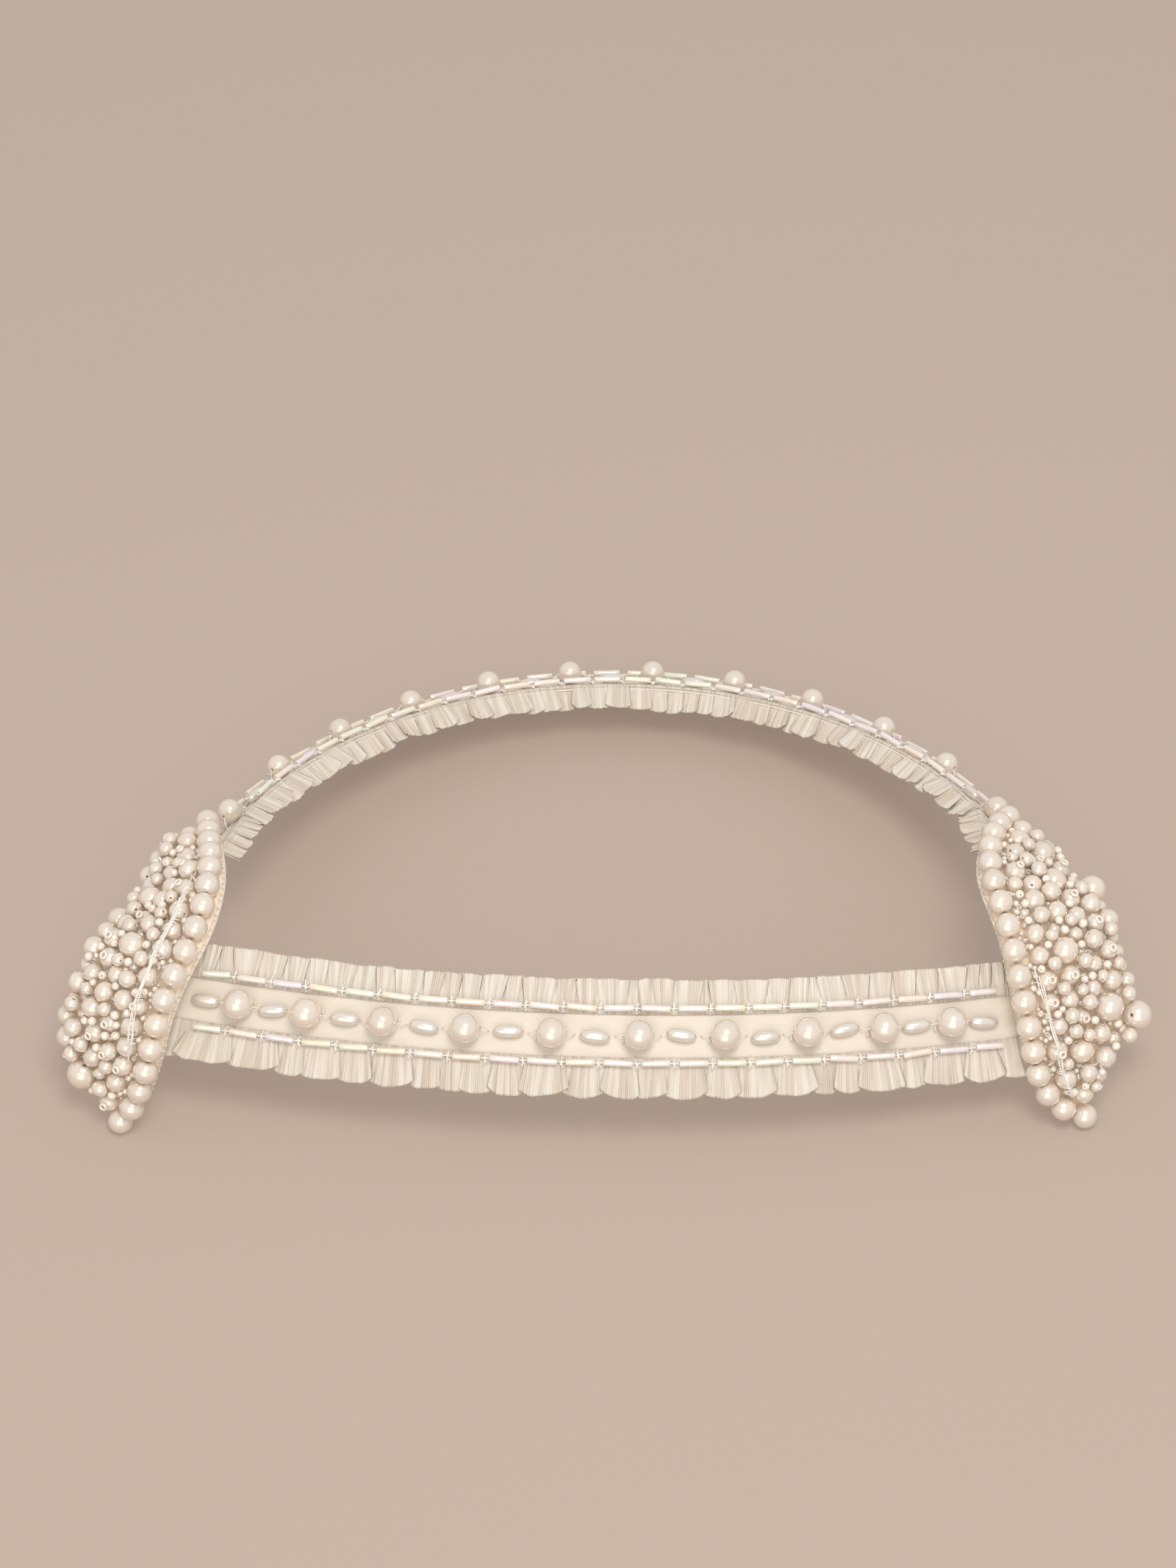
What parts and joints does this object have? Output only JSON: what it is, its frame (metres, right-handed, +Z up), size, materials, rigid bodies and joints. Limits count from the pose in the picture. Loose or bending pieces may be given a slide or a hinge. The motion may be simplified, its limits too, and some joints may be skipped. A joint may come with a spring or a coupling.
{
  "type": "headband",
  "caption": "Closed hand-beaded headband: two ruffled satin ribbon straps edged with bugle beads, joined by two arched leaf-shaped panels packed with pearls.",
  "frame": {"origin": "bottom centre of the bounding box, on the surface the headband lies on", "axes": "+X to the wearer's side shown on the right, from the left panel to the right panel; +Y from the front strap towards the back strap; +Z up from the surface"},
  "size_m": [0.255, 0.1539, 0.0477],
  "materials": {
    "satin_ribbon": "satin",
    "pleated_ruffle": "ribbed and pleated",
    "stiffener": "matt woven",
    "wire": "drawn",
    "thread": "matt thread",
    "iridescent_bugle": "iridescent coating",
    "rice_pearl": "pearlescent",
    "pearl": "pearlescent",
    "seed_bead": "pearlescent",
    "stop_ring": "pearlescent",
    "clear_seed": "clear gloss",
    "felt": "felted",
    "padding_cover": "satin"
  },
  "bodies": {
    "back_strap": {"back_bugle_stitches": "thread", "back_edge_wires": "wire", "back_face_ribbon": "satin_ribbon", "back_lining_ribbon": "satin_ribbon", "back_lower_bugles": "iridescent_bugle", "back_lower_ruffle": "pleated_ruffle", "back_rice_pearls": "rice_pearl", "back_round_pearls": "pearl", "back_seed_beads": "seed_bead", "back_stiffener": "stiffener", "back_upper_bugles": "iridescent_bugle", "back_upper_ruffle": "pleated_ruffle"},
    "front_strap": {"front_bugle_stitches": "thread", "front_edge_wires": "wire", "front_face_ribbon": "satin_ribbon", "front_lining_ribbon": "satin_ribbon", "front_lower_bugles": "iridescent_bugle", "front_lower_ruffle": "pleated_ruffle", "front_rice_pearls": "rice_pearl", "front_round_pearls": "pearl", "front_seed_beads": "seed_bead", "front_stiffener": "stiffener", "front_upper_bugles": "iridescent_bugle", "front_upper_ruffle": "pleated_ruffle", "left_side_ribbon": "satin_ribbon", "right_side_ribbon": "satin_ribbon"},
    "left_panel": {"left_big_pearls": "pearl", "left_border_pearls": "pearl", "left_clear_beads": "clear_seed", "left_edge_pearls": "pearl", "left_felt_backing": "felt", "left_groove_thread": "thread", "left_medium_pearls": "pearl", "left_padded_base": "padding_cover", "left_seed_beads": "seed_bead", "left_small_pearls": "pearl", "left_stop_beads": "stop_ring", "left_tip_pearls": "pearl"},
    "right_panel": {"right_big_pearls": "pearl", "right_border_pearls": "pearl", "right_clear_beads": "clear_seed", "right_edge_pearls": "pearl", "right_felt_backing": "felt", "right_groove_thread": "thread", "right_medium_pearls": "pearl", "right_padded_base": "padding_cover", "right_seed_beads": "seed_bead", "right_small_pearls": "pearl", "right_stop_beads": "stop_ring", "right_tip_pearls": "pearl"}
  },
  "joints": [
    {"name": "back_strap_bend", "type": "hinge", "parent": "front_strap", "child": "back_strap", "pos_m": [-0.09109, 0.00391, 0.02274], "axis": [0.9999, 0.0134, 0], "range_deg": [-10, 35]},
    {"name": "left_panel_flex", "type": "hinge", "parent": "front_strap", "child": "left_panel", "pos_m": [-0.08961, -0.01566, 0.0348], "axis": [0.163, 0.983, 0.0841], "range_deg": [0, 10]},
    {"name": "right_panel_flex", "type": "hinge", "parent": "front_strap", "child": "right_panel", "pos_m": [0.08946, -0.01318, 0.03482], "axis": [0.0946, -0.9795, -0.1779], "range_deg": [0, 10]}
  ]
}
